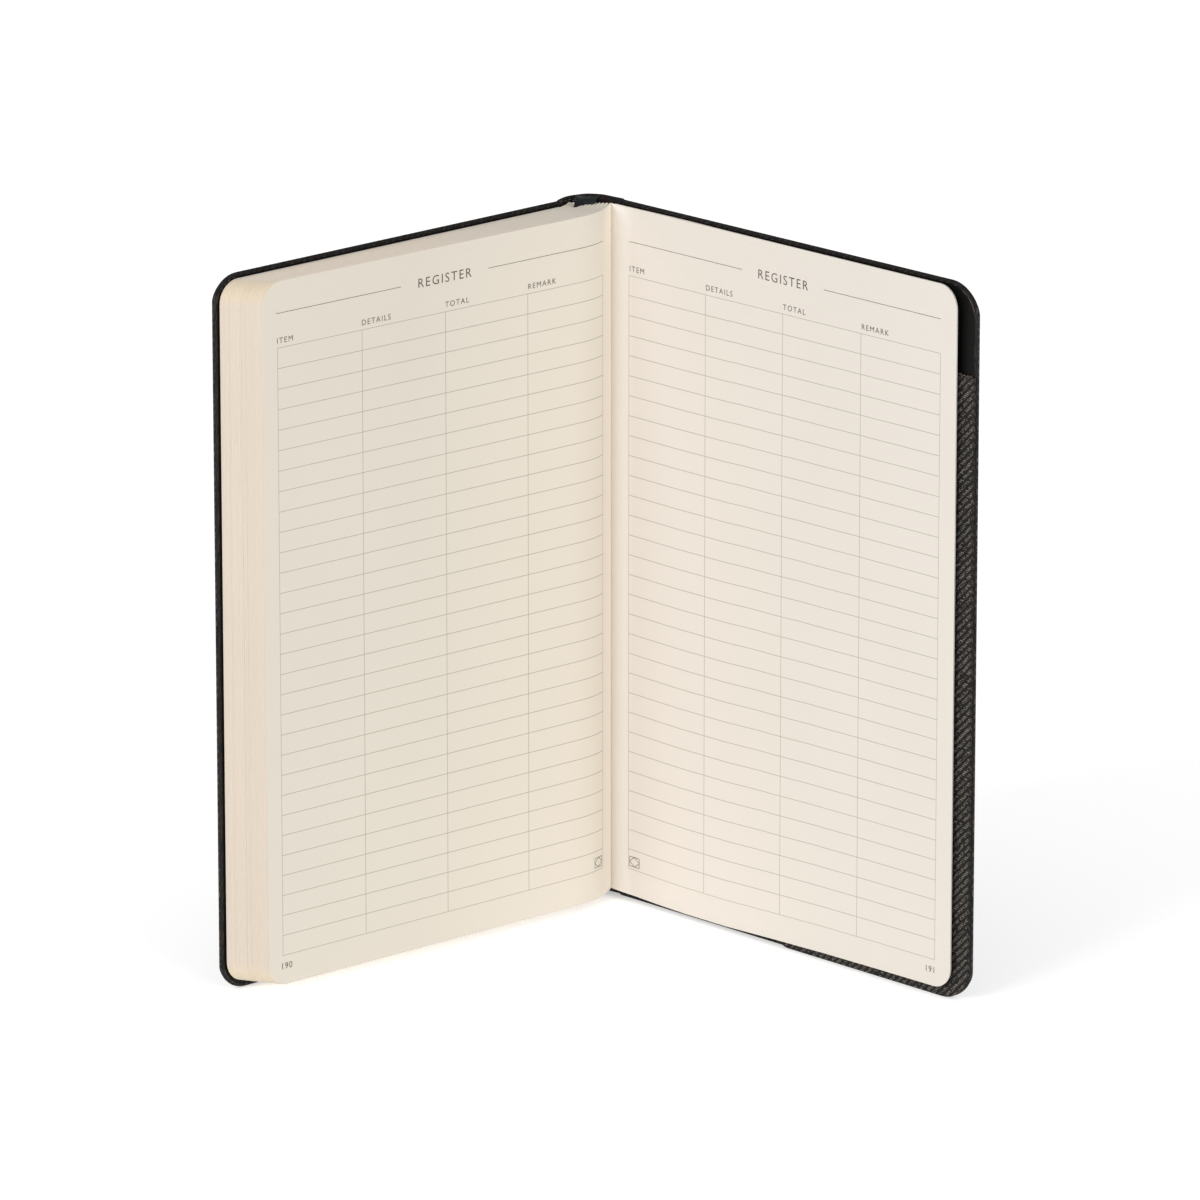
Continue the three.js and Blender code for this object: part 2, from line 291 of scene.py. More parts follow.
def coordinates(mesh):
    values = np.empty(len(mesh.vertices) * 3)
    mesh.vertices.foreach_get("co", values)
    return values.reshape(-1, 3)


def set_coordinates(mesh, values):
    mesh.vertices.foreach_set("co", np.asarray(values, np.float32).ravel())
    mesh.update()


# Nodes

FLOAT = "NodeSocketFloat"
VECTOR = "NodeSocketVector"
COLOUR = "NodeSocketColor"
WHOLE = "NodeSocketInt"
SHAPE = "NodeSocketGeometry"
FINISH = "NodeSocketMaterial"


def feed(tree, socket, value):
    """Gives a socket its value, or links it to another node's output."""
    if isinstance(value, bpy.types.NodeSocket):
        tree.links.new(value, socket)
    else:
        socket.default_value = value


def node(tree, kind, links=None, **settings):
    """A node with its settings; links maps an input to a value or to another node's output."""
    made = tree.nodes.new(kind)
    for key, value in settings.items():
        setattr(made, key, value)
    for key, value in (links or {}).items():
        feed(tree, made.inputs[key], value)
    return made


def math_node(tree, operation, *values, clamp=False):
    links = dict(enumerate(values))
    return node(tree, "ShaderNodeMath", links, operation=operation, use_clamp=clamp).outputs[0]


def step_down(tree, value, edge, soft):
    """1 below edge, 0 above edge + soft."""
    past = math_node(tree, "DIVIDE", math_node(tree, "SUBTRACT", value, edge), soft)
    return math_node(tree, "SUBTRACT", 1.0, past, clamp=True)


def mix_colour(tree, factor, a, b, blend="MIX"):
    links = {0: factor, 6: a, 7: b}
    return node(tree, "ShaderNodeMix", links, data_type="RGBA", blend_type=blend).outputs[2]


def xyz(tree, links):
    return node(tree, "ShaderNodeCombineXYZ", links).outputs[0]


def axes(tree, place):
    return node(tree, "ShaderNodeSeparateXYZ", {0: place}).outputs


def group(name, inputs, outputs, tree_kind="ShaderNodeTree"):
    """A node group. Each input gives its value or its kind of socket, each output its kind."""
    tree = bpy.data.node_groups.new(name, tree_kind)
    for label, value in inputs.items():
        kind = value if isinstance(value, str) else COLOUR if isinstance(value, tuple) else FLOAT
        socket = tree.interface.new_socket(label, in_out="INPUT", socket_type=kind)
        if value != kind:
            socket.default_value = value
    for label, kind in outputs.items():
        tree.interface.new_socket(label, in_out="OUTPUT", socket_type=kind)
    entry = tree.nodes.new("NodeGroupInput")
    leave = tree.nodes.new("NodeGroupOutput")
    return tree, entry.outputs, leave.inputs


def use_group(tree, shared, **values):
    """A shared group placed in a material; names with spaces are written with underscores."""
    links = {key.replace("_", " "): value for key, value in values.items()}
    return node(tree, "ShaderNodeGroup", links, node_tree=shared).outputs


def speckle_group():
    """Fine fibre noise and a broad cloudy drift, both about 0 to 1."""
    inputs = {"Vector": VECTOR, "Fine Scale": 3000.0, "Broad Scale": 40.0}
    tree, given, out = group("speckle", inputs, {"Fine": FLOAT, "Broad": FLOAT})
    for label, scale, detail in (("Fine", "Fine Scale", 3.0), ("Broad", "Broad Scale", 2.0)):
        links = {"Vector": given["Vector"], "Scale": given[scale], "Detail": detail}
        tree.links.new(node(tree, "ShaderNodeTexNoise", links).outputs["Fac"], out[label])
    return tree


LINE_BLUR = 0.03


def ruling_group():
    """A printed table of thin lines: a mask from page places in millimetres."""
    inputs = {
        "Page": VECTOR, "Inner Line": 6.0, "Foot Line": 9.7,
        "Column": 26.35, "Row": 5.1, "Columns": 4.0, "Rows": 30.0, "Line": 0.13,
    }
    tree, given, out = group("table_ruling", inputs, {"Mask": FLOAT})
    calc = partial(math_node, tree)
    place = axes(tree, given["Page"])
    half = calc("MULTIPLY", given["Line"], 0.5)
    lines, inside = [], []
    for axis, start, pitch, number in (
        (0, "Inner Line", "Column", "Columns"),
        (1, "Foot Line", "Row", "Rows"),
    ):
        cell = calc("DIVIDE", calc("SUBTRACT", place[axis], given[start]), given[pitch])
        near = calc("MULTIPLY", calc("PINGPONG", cell, 0.5), given[pitch])
        lines.append(step_down(tree, near, half, LINE_BLUR))
        edge = calc("DIVIDE", half, given[pitch])
        above = calc("GREATER_THAN", cell, calc("MULTIPLY", edge, -1.0))
        below = calc("LESS_THAN", cell, calc("ADD", given[number], edge))
        inside.append(calc("MULTIPLY", above, below))
    ink, field = calc("MAXIMUM", *lines), calc("MULTIPLY", *inside)
    tree.links.new(calc("MULTIPLY", ink, field), out["Mask"])
    return tree


# Half of a pale dash and its soft end, as shares of a float, how much the dashes vary in
# brightness, and how high the warp stands beside them
DASH, DASH_END = 0.24, 0.08
LUCK, LEAST_LUCK = 1.3, -0.1
WARP_HEIGHT = 0.7


def twill_group():
    """A twill of dark warp and pale weft dashes, from cloth places in millimetres."""
    inputs = {
        "Cloth": VECTOR, "Thread": 0.46, "Float": 4.4,
        "Warp": (0.007, 0.006, 0.0055, 1), "Weft": (0.24, 0.215, 0.187, 1),
    }
    tree, given, out = group("twill", inputs, {"Color": COLOUR, "Height": FLOAT})
    calc = partial(math_node, tree)
    place = axes(tree, given["Cloth"])
    u, v = (calc("DIVIDE", place[axis], given["Thread"]) for axis in (0, 1))
    bead_u, bead_v = (
        calc("SINE", calc("MULTIPLY", calc("PINGPONG", value, 0.5), math.pi)) for value in (u, v)
    )
    row = calc("FLOOR", v)
    cell = xyz(tree, {0: calc("FLOOR", u), 1: row})
    luck = node(tree, "ShaderNodeTexWhiteNoise", {"Vector": cell}, noise_dimensions="2D")
    phase = calc("FRACT", calc("DIVIDE", calc("SUBTRACT", u, row), given["Float"]))
    centre = calc("ABSOLUTE", calc("SUBTRACT", phase, 0.5))
    dash = step_down(tree, centre, DASH, DASH_END)
    pale = calc("MULTIPLY", dash, calc("POWER", bead_v, 2.0))
    lucky = calc("MULTIPLY_ADD", luck.outputs["Value"], LUCK, LEAST_LUCK)
    amount = calc("MULTIPLY", pale, lucky, clamp=True)
    tree.links.new(mix_colour(tree, amount, given["Warp"], given["Weft"]), out["Color"])
    warp = calc("MULTIPLY", bead_u, calc("SUBTRACT", 1.0, dash))
    tree.links.new(calc("ADD", pale, calc("MULTIPLY", warp, WARP_HEIGHT)), out["Height"])
    return tree


SPECKLE = speckle_group()
RULING = ruling_group()
TWILL = twill_group()


# Materials

def new_material(name):
    material = bpy.data.materials.new(name)
    material.use_nodes = True
    tree = material.node_tree
    return material, tree, tree.nodes["Principled BSDF"]


def speckled(tree, fine, broad):
    """The speckle on object coordinates."""
    place = node(tree, "ShaderNodeTexCoord").outputs["Object"]
    return use_group(tree, SPECKLE, Vector=place, Fine_Scale=fine, Broad_Scale=broad)


def cloth_map(tree):
    return node(tree, "ShaderNodeUVMap", uv_map="cloth").outputs["UV"]


def attribute(tree, name, output="Fac"):
    return node(tree, "ShaderNodeAttribute", attribute_name=name).outputs[output]


def tinted(base, factors):
    """A colour times one factor, or times one for each channel."""
    return (*np.multiply(base, factors), 1)


def set_surface(tree, shader, colour, roughness, specular, relief=None, sheen=0.0):
    """A material's finish; relief gives a height, its distance in metres and its strength."""
    feed(tree, shader.inputs["Base Color"], colour)
    feed(tree, shader.inputs["Roughness"], roughness)
    feed(tree, shader.inputs["Specular IOR Level"], specular)
    feed(tree, shader.inputs["Sheen Weight"], sheen)
    if relief:
        links = dict(zip(("Height", "Distance", "Strength"), relief))
        feed(tree, shader.inputs["Normal"], node(tree, "ShaderNodeBump", links).outputs["Normal"])


# How far the painted light at the fold and the painted light over the shaded cleft reach into a
# ruled page, in millimetres
FOLD_LIGHT_REACH = 70.0
CLEFT_LIGHT_START, CLEFT_LIGHT_REACH, CLEFT_LIGHT_AMOUNT = 0.5, 7.0, 0.75
TABLE_INK = (0.30, 0.27, 0.235, 1)
AGED = (0.90, 0.86, 0.80)


def paper_material(name, base, table=None, tone="", fold_light=(1.10, 1.08, 1.06), cleft_light=(1, 0.93, 0.80)):
    """Uncoated paper with soft cloudiness. tone names the attribute of each leaf's own shade.
    table gives a ruled page's inner and foot line; the last two give painted light near the fold, a
    lighter band and pale paper laid over the shade in the cleft."""
    material, tree, shader = new_material(name)
    calc = partial(math_node, tree)
    speckle = speckled(tree, 2600.0, 28.0)
    dark = tinted(base, 0.965)
    colour = mix_colour(tree, speckle["Broad"], dark, tinted(base, 1.012))
    colour = mix_colour(tree, calc("MULTIPLY", speckle["Fine"], 0.12), colour, dark)
    if tone:
        shade = calc("MULTIPLY", attribute(tree, tone), 0.4)
        colour = mix_colour(tree, shade, colour, tinted(base, AGED))
        # Painted light: the edge colour lightens the cut head and fore edge and tints the rounded
        # corners brighter and warmer
        colour = mix_colour(tree, 1.0, colour, attribute(tree, "edge", "Color"), "MULTIPLY")
    if table:
        page = cloth_map(tree)
        across = axes(tree, page)[0]
        # Painted light: the page is lightened towards the fold
        fold_light_mask = step_down(tree, across, 0.0, FOLD_LIGHT_REACH)
        colour = mix_colour(tree, fold_light_mask, colour, tinted(base, fold_light))
        # Painted light: close to the fold the page is mixed towards pale paper, over the shade in
        # the cleft
        cleft_light_mask = calc("MULTIPLY", step_down(tree, across, CLEFT_LIGHT_START, CLEFT_LIGHT_REACH), CLEFT_LIGHT_AMOUNT)
        colour = mix_colour(tree, cleft_light_mask, colour, (*cleft_light, 1))
        mask = use_group(tree, RULING, Page=page, Inner_Line=table[0], Foot_Line=table[1])["Mask"]
        colour = mix_colour(tree, calc("MULTIPLY", mask, 0.8), colour, TABLE_INK)
    set_surface(tree, shader, colour, 0.9, 0.25, (speckle["Fine"], 0.00003, 0.5), 0.05)
    return material


def twill_material(name):
    """The covers' cloth: a little dusty, and dark where it is pressed over the edges."""
    material, tree, shader = new_material(name)
    calc = partial(math_node, tree)
    weave = use_group(tree, TWILL, Cloth=cloth_map(tree))
    dust = calc("MULTIPLY", speckled(tree, 900.0, 60.0)["Broad"], 0.25)
    colour = mix_colour(tree, dust, weave["Color"], (0.02, 0.018, 0.017, 1))
    pressed = calc("MULTIPLY", attribute(tree, "pressed"), 0.85)
    colour = mix_colour(tree, pressed, colour, (0.0075, 0.005, 0.0042, 1))
    set_surface(tree, shader, colour, 0.72, 0.22, (weave["Height"], 0.00012, 0.8))
    return material


def lining_material(name, base, roughness, scale):
    """Smooth paper or film with a faint grain."""
    material, tree, shader = new_material(name)
    speckle = speckled(tree, scale, 35.0)
    colour = mix_colour(tree, speckle["Broad"], tinted(base, 0.75), tinted(base, 1.2))
    links = {"Value": speckle["Fine"], "To Min": roughness - 0.06, "To Max": roughness + 0.06}
    rough = node(tree, "ShaderNodeMapRange", links).outputs["Result"]
    set_surface(tree, shader, colour, rough, 0.12, (speckle["Fine"], 0.00004, 0.4))
    return material


def gauze_material():
    """Open cotton gauze stiffened with glue."""
    material, tree, shader = new_material("gauze")
    place = node(tree, "ShaderNodeTexCoord").outputs["Object"]
    links = {"Vector": place, "Scale": 260.0, "Distortion": 0.6}
    waves = [
        node(tree, "ShaderNodeTexWave", links, bands_direction=direction).outputs["Fac"]
        for direction in ("X", "Z")
    ]
    threads = math_node(tree, "MAXIMUM", *waves)
    colour = mix_colour(tree, threads, (0.45, 0.40, 0.31, 1), (0.78, 0.74, 0.65, 1))
    set_surface(tree, shader, colour, 0.95, 0.2, (threads, 0.0001, 0.7))
    return material


def ribbon_material():
    """Satin ribbon with fine cross ribs."""
    material, tree, shader = new_material("ribbon_satin")
    calc = partial(math_node, tree)
    ribs = calc("PINGPONG", calc("DIVIDE", axes(tree, cloth_map(tree))[0], 0.28), 0.5)
    colour = mix_colour(tree, ribs, (0.006, 0.0085, 0.009, 1), (0.017, 0.023, 0.024, 1))
    set_surface(tree, shader, colour, 0.5, 0.2, (ribs, 0.00008, 0.6))
    return material


def ink_material():
    material, tree, shader = new_material("printed_ink")
    worn = speckled(tree, 5200.0, 60.0)["Fine"]
    colour = mix_colour(tree, worn, (0.075, 0.06, 0.048, 1), (0.13, 0.108, 0.088, 1))
    set_surface(tree, shader, colour, 0.85, 0.2)
    return material


# The tables' inner and foot lines, in millimetres from the fold and from the standing foot
VERSO_TABLE = (7.25, 9.7)
RECTO_TABLE = (6.05, 9.0)

LEFT_PAPER = paper_material("ruled_paper_verso", (0.708, 0.665, 0.588), VERSO_TABLE, "tone")
# Page 191's paper takes its own strengths of painted light at the fold
RIGHT_PAPER = paper_material(
    "ruled_paper_recto", (0.700, 0.654, 0.595), RECTO_TABLE,
    fold_light=(1.06, 1.05, 1.05), cleft_light=(0.98, 0.93, 0.87),
)
ENDPAPER = paper_material("endpaper", (0.86, 0.81, 0.73))
GLUE = paper_material("fold_glue", (0.80, 0.72, 0.58))
CLOTH = twill_material("cover_twill")
LINING = lining_material("black_lining", (0.0035, 0.0033, 0.0032), 0.5, 1500.0)
LINER = lining_material("spine_paper", (0.030, 0.022, 0.018), 0.8, 1200.0)
CARD = lining_material("cover_card", (0.16, 0.14, 0.12), 0.9, 900.0)
GAUZE = gauze_material()
RIBBON = ribbon_material()
STUBS = lining_material("cut_threads", (0.16, 0.12, 0.09), 0.85, 2500.0)
INK = ink_material()


# Camera, at the photograph's angle

CAMERA_TARGET = Vector((0.78, -40.0, 87.3)) * MM
CAMERA_ELEVATION = math.radians(16.35)
CAMERA_AZIMUTH = math.radians(-0.27)
CAMERA_DISTANCE = 2.475
CAMERA_LENS = 302.5


def make_camera():
    data = bpy.data.cameras.new("camera")
    data.lens = CAMERA_LENS
    data.sensor_width = 36.0
    data.clip_start, data.clip_end = 0.1, 30.0
    camera = in_scene("camera", data)
    level = math.cos(CAMERA_ELEVATION)
    forward = Vector((
        math.sin(CAMERA_AZIMUTH) * level,
        math.cos(CAMERA_AZIMUTH) * level,
        -math.sin(CAMERA_ELEVATION),
    ))
    camera.location = CAMERA_TARGET - forward * CAMERA_DISTANCE
    camera.rotation_mode = "QUATERNION"
    camera.rotation_quaternion = forward.to_track_quat("-Z", "Y")
    bpy.context.scene.camera = camera


make_camera()


# Block of leaves

# Where a leaf starts to bend, how much thicker the leaves get where they fan out, and how far
# the first signature stands low at the head
BEND_START = 0.8
PLUMP = 0.45
HEAD_SINK = 0.5
# How far the first and the last signature stop short at the fore edge
FORE_TRIM = (1.6, 0.4)
FORE_SCATTER = 0.05
SPREAD = FOLD_PITCH / LEAVES / LEAF_PITCH
FOLD_DEPTH = LEAF_PITCH * LEAVES / 2
LAST_NUMBER = SIGNATURES - 1

# Signatures are numbered from 0, and numbers between two of them are allowed

def along_block(first, last, number):
    """A size that changes evenly from the first signature to the last."""
    return first + (last - first) * number / LAST_NUMBER


def fold_x(number):
    return FIRST_FOLD_X + number * FOLD_PITCH


def bend_range(number):
    """Distances from the fold between which a leaf bends."""
    return BEND_START, 2 * along_block(FIRST_BEND, LAST_BEND, number) - BEND_START


def lean_heading(number, centre):
    """Heading of a leaf that leaves its fold square and then leans with the block."""
    start, end = bend_range(number)
    lean = along_block(FIRST_LEAN, LAST_LEAN, number)
    return lambda distance: lean * smooth((distance - centre) / (end - start) + 0.5)


def leaf_path(number):
    """A leaf's middle line, whose far run passes through the sharp bend line."""
    depth = along_block(FIRST_BEND, LAST_BEND, number)
    far = swept((0, 0), 60, lean_heading(number, depth)).points[-1]
    slope = math.tan(math.radians(along_block(FIRST_LEAN, LAST_LEAN, number)))
    crossing = -far[1] - far[0] / slope
    return swept((fold_x(number), 0.0), PAGE_WIDTH + 2, lean_heading(number, 2 * depth - crossing))


def fan_out(distance, number):
    """How many times as far apart as at the fold the leaves of a signature stand."""
    start, end = bend_range(number)
    return 1 + (SPREAD - 1) * smooth((distance - start) / (end - start))


def up_page(height):
    """0 at a page's foot, 1 at its head, with soft ends."""
    return smooth((height - PAGE_FOOT) / (PAGE_HEAD - PAGE_FOOT))


def head_sink(number, height):
    return along_block(HEAD_SINK, 0, number) * up_page(height)


def leaf_stations(root, width):
    """Distances from the fold: close together at the bend and round the corners."""
    near = [root, 1.6, 3, 4.4, 5.8, 7.2, 8.6, 10, 11.4, 12.8, 14.2, 15.8, 17.4, 19.2]
    middle = [26, 40, 56, 74, 92]
    corner = [width - inside for inside in quarter(PAGE_CORNER, range(90, -1, -10))]
    return np.array([s for s in near + middle if s >= root] + corner)


def flat_leaf(name, root, width, thick):
    """One leaf as a closed slab on the plan: x through its thickness, y from its fold."""
    stations = leaf_stations(root, width)
    rings, uvs = [], []
    for distance, inset in zip(stations, draw_in(width - stations, PAGE_CORNER)):
        low, high = PAGE_FOOT + inset, PAGE_HEAD - inset
        corners = ((-1, low), (1, low), (1, high), (-1, high))
        rings.append([(side * thick / 2, -distance, z) for side, z in corners])
        uvs.append([(distance, z) for z in (low, low, high, high, low)])
    mesh = skin(name, np.array(rings), np.array(uvs))
    paint_edge_light(mesh)
    return mesh


# Painted light for the leaves' cut edges: factors that lighten the head and the fore edge against
# the shade between the leaves, and a brighter, warmer tint for the rounded corners
HEAD_PAINTED_LIGHT = (1.28, 1.20, 1.15)
FORE_PAINTED_LIGHT = (1.13, 1.04, 1.01)
CORNER_PAINTED_LIGHT = (1.22, 1.10, 0.92)


def paint_edge_light(mesh):
    """Painted light on a flat leaf's cut edges: the head and fore edge are lightened against the
    shade in the gaps between the leaves, and the rounded corners get a brighter, warmer tint.
    """
    tint = mesh.attributes.new("edge", "FLOAT_COLOR", "CORNER")
    values = np.ones((len(mesh.loops), 4))
    for face in mesh.polygons:
        side, fore, level = (abs(part) for part in face.normal)
        if side > 0.5:
            continue
        corner = min(1.0, 2.4 * fore * level)
        plain = np.array(FORE_PAINTED_LIGHT) * fore**2 + np.array(HEAD_PAINTED_LIGHT) * level**2
        colour = plain * (1 - corner) + np.array(CORNER_PAINTED_LIGHT) * corner
        values[list(face.loop_indices), :3] = colour
    tint.data.foreach_set("color", values.ravel())


# Geometry Nodes for rows of leaves and of threads

def row_tree(name, **more):
    """A tree with the inputs that every row has, and points Pitch apart along X."""
    inputs = {"Piece": SHAPE, "Count": WHOLE, "Pitch": FLOAT, **more}
    inputs.update({"Seed": WHOLE, "Material": FINISH})
    tree, given, out = group(name, inputs, {"Row": SHAPE}, "GeometryNodeTree")
    links = {"Count": given["Count"], "Offset": xyz(tree, {0: given["Pitch"]})}
    points = node(tree, "GeometryNodeMeshLine", links).outputs["Mesh"]
    return tree, given, out, {"Points": points, "Instance": given["Piece"]}


def random_vector(tree, given, least, most):
    links = {0: least, 1: most, "Seed": given["Seed"]}
    return node(tree, "FunctionNodeRandomValue", links, data_type="FLOAT_VECTOR").outputs[0]


def end_row(tree, given, out, instances):
    """The tree's end: real pieces with their material."""
    real = node(tree, "GeometryNodeRealizeInstances", {0: instances})
    links = {0: real.outputs[0], "Material": given["Material"]}
    tree.links.new(node(tree, "GeometryNodeSetMaterial", links).outputs[0], out["Row"])


def run_tree(name, tree, mesh, values):
    """The plain mesh that a tree makes of a mesh."""
    source = in_scene(name, mesh)
    modifier = source.modifiers.new(tree.name, "NODES")
    modifier.node_group = tree
    identifiers = {socket.name: socket.identifier for socket in tree.interface.items_tree}
    for label, value in values.items():
        modifier[identifiers[label]] = value
    return plain_mesh(source)


def leaf_stack_tree():
    """Leaves side by side, each a little out of line at its fore edge, with its own tone."""
    tree, given, out, row = row_tree("leaf_stack", Scatter=FLOAT)
    placed = node(tree, "GeometryNodeInstanceOnPoints", row)
    less = math_node(tree, "MULTIPLY", given["Scatter"], -1.0)
    least, most = (xyz(tree, {1: value}) for value in (less, given["Scatter"]))
    links = {"Instances": placed.outputs[0], "Translation": random_vector(tree, given, least, most)}
    slipped = node(tree, "GeometryNodeTranslateInstances", links)
    links = {2: 0.0, 3: 1.0, "Seed": given["Seed"]}
    tone = node(tree, "FunctionNodeRandomValue", links, data_type="FLOAT")
    links = {"Geometry": slipped.outputs[0], "Name": "tone", "Value": tone.outputs[1]}
    kept = node(
        tree, "GeometryNodeStoreNamedAttribute", links, data_type="FLOAT", domain="INSTANCE"
    )
    end_row(tree, given, out, kept.outputs[0])
    return tree


# Least and most turn in radians, and least and most scale, of a cut thread
THREAD_TURN = (-0.3, -0.9, -0.4), (0.3, 0.9, 0.4)
THREAD_SCALE = (0.7, 0.7, 0.2), (1.5, 1.3, 1.3)


def thread_row_tree():
    """Short cut threads along a line, each with its own lean and length."""
    tree, given, out, row = row_tree("thread_row")
    row["Rotation"] = random_vector(tree, given, *THREAD_TURN)
    row["Scale"] = random_vector(tree, given, *THREAD_SCALE)
    end_row(tree, given, out, node(tree, "GeometryNodeInstanceOnPoints", row).outputs[0])
    return tree


LEAF_STACK = leaf_stack_tree()
LEAF_SHAPE = flat_leaf("leaf", FOLD_DEPTH, PAGE_WIDTH, LEAF_THICK)
FIRST_SEED = 3


def bent_signature(index, leaf):
    """A signature: its leaves fan out from the fold and lean with the block."""
    name = f"signature_{index + 1:02d}"
    mesh = run_tree(f"{name}_leaves", LEAF_STACK, leaf.copy(), {
        "Count": LEAVES if index < LAST_NUMBER else LEAVES - 1,
        "Pitch": LEAF_PITCH,
        "Scatter": FORE_SCATTER,
        "Seed": index + FIRST_SEED,
        "Material": LEFT_PAPER,
    })
    flat = coordinates(mesh)
    order = np.arange(len(flat)) // len(leaf.vertices)
    through = flat[:, 0] - order * LEAF_PITCH
    from_middle = (order - (LEAVES - 1) / 2) * LEAF_PITCH
    distance = -flat[:, 1] * (1 - along_block(*FORE_TRIM, index) / PAGE_WIDTH)
    path = leaf_path(index)
    fan = fan_out(distance, index)
    plan = path.place(distance, through * (1 + PLUMP * (fan - 1)))
    plan[:, 0] += from_middle * fan
    set_coordinates(mesh, to_frame(plan, flat[:, 2] - head_sink(index, flat[:, 2])))
    made = as_object(f"{name}_leaves", mesh, LEFT_PAPER)
    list(blend_ends(path, *bend_range(index)))
    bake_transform(made)
    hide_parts(name)
    return path


SIGNATURE_PATHS = [bent_signature(i, LEAF_SHAPE) for i in range(SIGNATURES)]


def single_leaf(name, path, root, width, thick, material, out=None, drop=None):
    """One leaf along its own path; out moves it sideways by a function of the distance, and
    drop lowers it by a function of the distance and the height."""
    mesh = flat_leaf(name, root, width, thick)
    flat = coordinates(mesh)
    distance = -flat[:, 1]
    side = flat[:, 0] + (out(distance) if out else 0)
    height = flat[:, 2] - (drop(distance, flat[:, 2]) if drop else 0)
    set_coordinates(mesh, to_frame(path.place(distance, side), height))
    made = as_object(name, mesh, material)
    return made


FOOT_SAG = 0.95
FOOT_SAG_LENGTH = 64.0
FOOT_SAG_HEIGHT = 80.0
FOOT_LIFT = 0.45
FOOT_LIFT_START, FOOT_LIFT_LENGTH = 60, 50


def foot_sag(distance, height):
    """The leaves on the back cover hang a little low at the foot, then rise at the fore edge."""
    wave = np.sin(math.pi * np.clip(distance / FOOT_SAG_LENGTH, 0, 1))
    lift = FOOT_LIFT * smooth((distance - FOOT_LIFT_START) / FOOT_LIFT_LENGTH)
    return (FOOT_SAG * wave - lift) * (1 - smooth((height - PAGE_FOOT) / FOOT_SAG_HEIGHT))


def front_flyleaf():
    """The front flyleaf stands a little low at the head, like the first signature."""
    pivot = (FIRST_FOLD_X, -FIRST_BEND)
    root = about((FRONT_FLYLEAF_X, -FIRST_BEND), pivot, FIRST_LEAN)
    ends = [ray(root, FIRST_LEAN, length) for length in (-FIRST_BEND, PAGE_WIDTH)]
    made = single_leaf(
        "front_flyleaf_sheet", Path(np.linspace(*ends, 200)), FIRST_BEND + 1,
        PAGE_WIDTH - FORE_TRIM[0], FLYLEAF_THICK, ENDPAPER,
        drop=lambda distance, height: head_sink(0, height),
    )
    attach(made, "front_flyleaf")
    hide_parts("front_flyleaf")


# Where the last leaf has left its curl, the end of a short span from the fold whose points of the
# frame are taken, and its heading at the fold
LAST_LEAF_MERGE = 9.0
LAST_LEAF_BEND = 1.6
LAST_LEAF_CURL = 53


def last_leaf():
    """The leaf of page 191: it curls out of the last fold towards the back cover."""
    fold = (fold_x(LAST_NUMBER) + (LEAVES - 1) / 2 * LEAF_PITCH, -FOLD_DEPTH)
    pivot = np.array([LAST_LEAF_X, LEAF_HINGE_Y])
    merge = ray(pivot, LAST_LEAF_SWING, LAST_LEAF_MERGE)
    curl = soft_curve(fold, LAST_LEAF_CURL, merge, LAST_LEAF_SWING, LAST_LEAF_MERGE)
    far = np.linspace(merge, ray(pivot, LAST_LEAF_SWING, PAGE_WIDTH + 1), 200)[1:]
    path = Path(np.vstack([curl, far]))
    made = single_leaf(
        "last_leaf_sheet", path, 0.0, PAGE_WIDTH - FOLD_DEPTH, LEAF_THICK, RIGHT_PAPER,
        drop=foot_sag,
    )
    ends = blend_ends(path, 0, LAST_LEAF_BEND)
    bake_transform(made)
    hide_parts("last_leaf")
    return path, ends


FLYLEAF_BELLY = 0.45
FLYLEAF_BELLY_LENGTH = 50.0
BACK_FLYLEAF_TRIM = 1.1


def flyleaf_belly(distance):
    along = np.clip(distance / FLYLEAF_BELLY_LENGTH, 0, 1)
    return FLYLEAF_BELLY * np.sin(math.pi * along) ** 2


def back_flyleaf():
    path = straight((BACK_FLYLEAF_X, LEAF_HINGE_Y), BACK_FLYLEAF_SWING, PAGE_WIDTH + 1, 300)
    made = single_leaf(
        "back_flyleaf_sheet", path, 0.3, PAGE_WIDTH - BACK_FLYLEAF_TRIM, FLYLEAF_THICK, ENDPAPER,
        flyleaf_belly, foot_sag,
    )
    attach(made, "back_flyleaf")
    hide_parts("back_flyleaf")


front_flyleaf()
LAST_LEAF_PATH, LAST_LEAF_ENDS = last_leaf()
back_flyleaf()


# Print on the two open pages, in millimetres

CAPTIONS = ("ITEM", "DETAILS", "TOTAL", "REMARK")
TITLE = "REGISTER"
COLUMN = 26.35
TABLE_WIDTH = 4 * COLUMN
TABLE_HEAD = 162.7
TITLE_HEIGHT = 171.3
TITLE_RULE = 38.9
NUMBER_HEIGHT = 6.2
TITLE_DROP = 1.2
CAPTION_LIFT = 1.1
RULE = 0.115
# Foot, width, height and line of the corner ornament
GEM_FOOT, GEM_WIDTH, GEM_HEIGHT, GEM_LINE = 10.5, 3.3, 2.5, 0.14
# Cap height and letter spacing
TITLE_TYPE = (2.3, 1.25)
CAPTION_TYPE = (1.4, 1.28)
NUMBER_TYPE = (1.6, 1.1)
CAP_TO_SIZE = 0.69
INK_LIFT = 0.035


def glyphs(text, cap_height, spacing, anchor, across, height):
    """Flat letters as a mesh, standing at a place on the page."""
    curve = bpy.data.curves.new("letters", "FONT")
    curve.body = text
    curve.size = cap_height / CAP_TO_SIZE
    curve.space_character = spacing
    curve.align_x = anchor
    curve.offset = -0.008 * cap_height
    curve.resolution_u = 3
    mesh = plain_mesh(in_scene("letters", curve))
    bpy.data.curves.remove(curve)
    set_coordinates(mesh, coordinates(mesh) + (across, height, 0))
    return mesh


